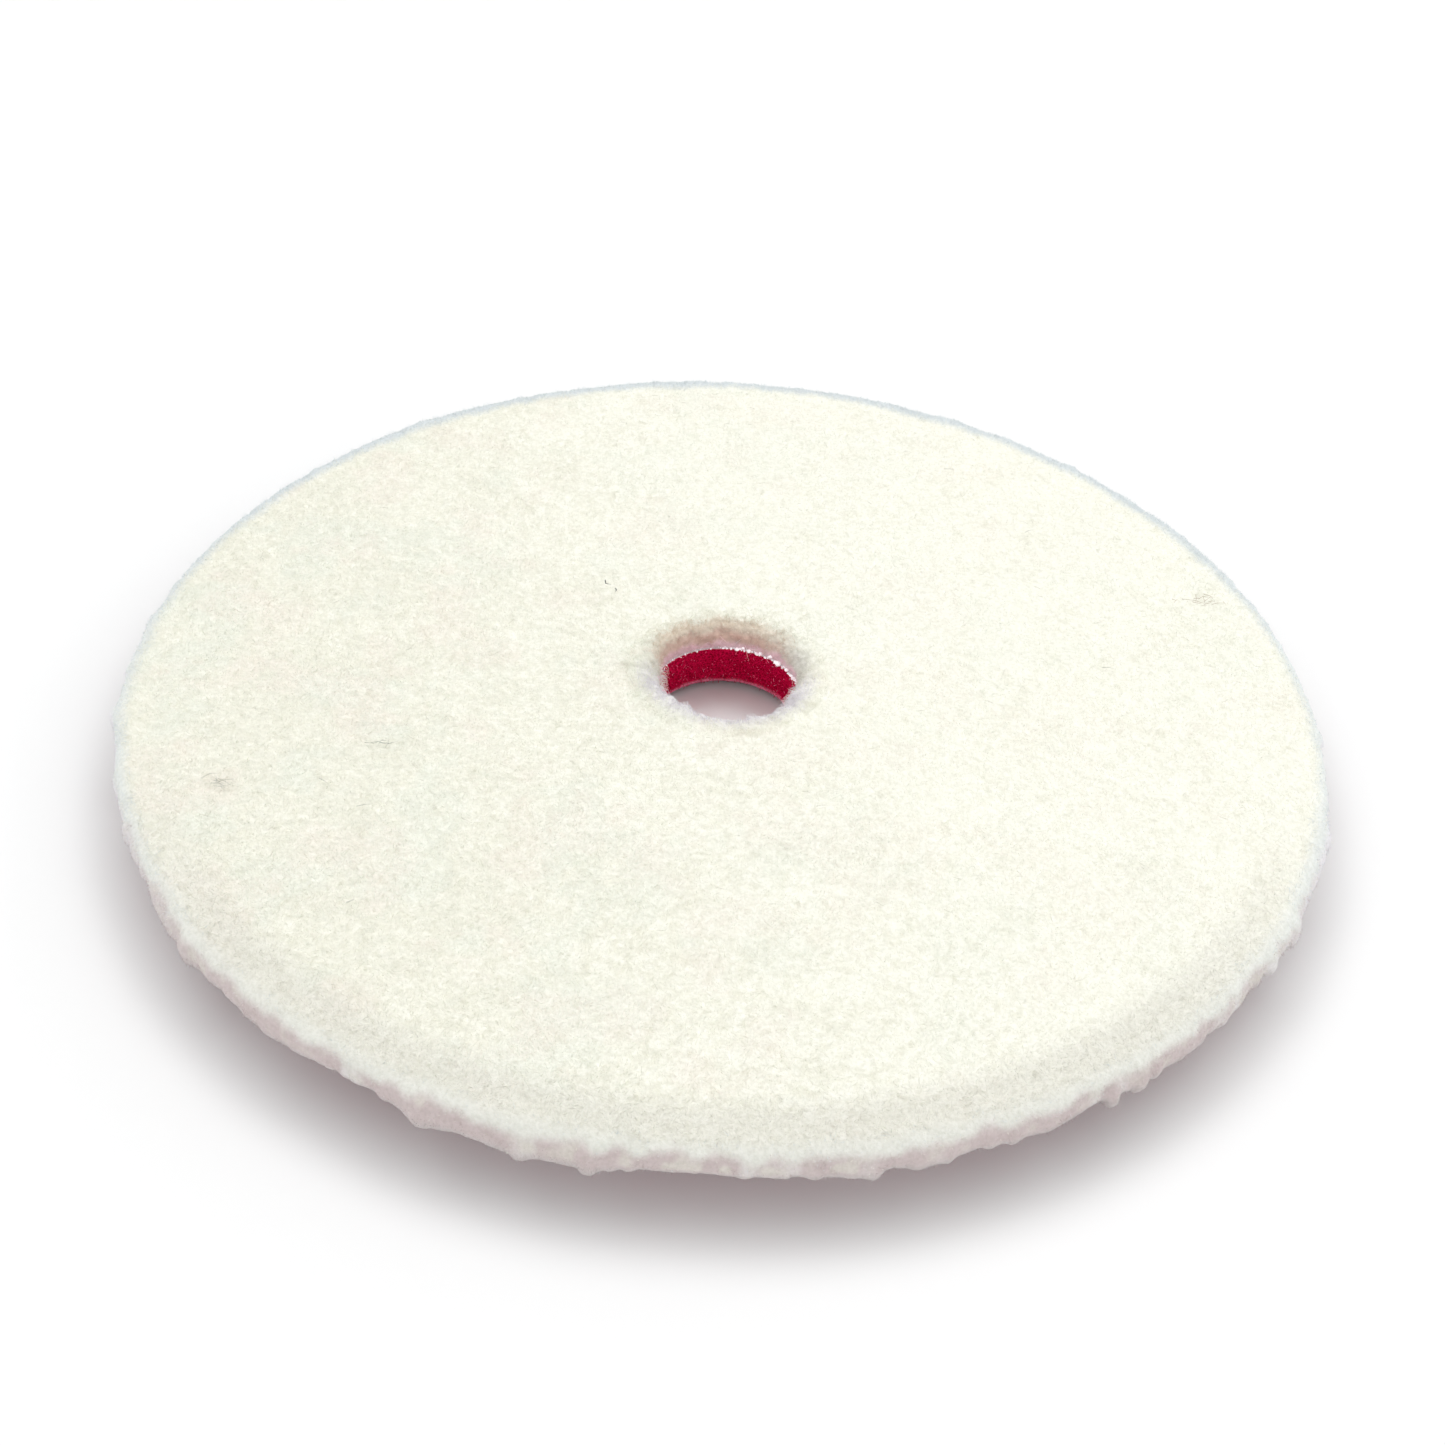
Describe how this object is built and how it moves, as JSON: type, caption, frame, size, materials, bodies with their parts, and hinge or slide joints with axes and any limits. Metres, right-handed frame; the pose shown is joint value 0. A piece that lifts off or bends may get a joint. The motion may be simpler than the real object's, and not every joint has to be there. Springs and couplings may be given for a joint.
{
  "type": "felt polishing wheel",
  "caption": "Round polishing pad with a short dense white pile, a thin crimson foam interlayer, a hook-and-loop backing and a centre hole.",
  "frame": {"origin": "centre of the loop backing's lowest face, on the axis of the centre hole", "axes": "+Z along the axis of the centre hole, out of the pile; the pad is round, so X and Y are free"},
  "size_m": [0.165, 0.165, 0.0115],
  "materials": {
    "white_pile": "matte",
    "white_knit": "matte",
    "bond_film": "satin",
    "crimson_foam": "matte",
    "loop_knit": "matte",
    "loop_yarn": "matte"
  },
  "bodies": {
    "root": {"pile_face": "white_pile", "ground_cloth": "white_knit", "face_bond_film": "bond_film", "foam_core": "crimson_foam", "backing_bond_film": "bond_film", "loop_cloth": "loop_knit", "loop_pile": "loop_yarn"}
  },
  "joints": []
}
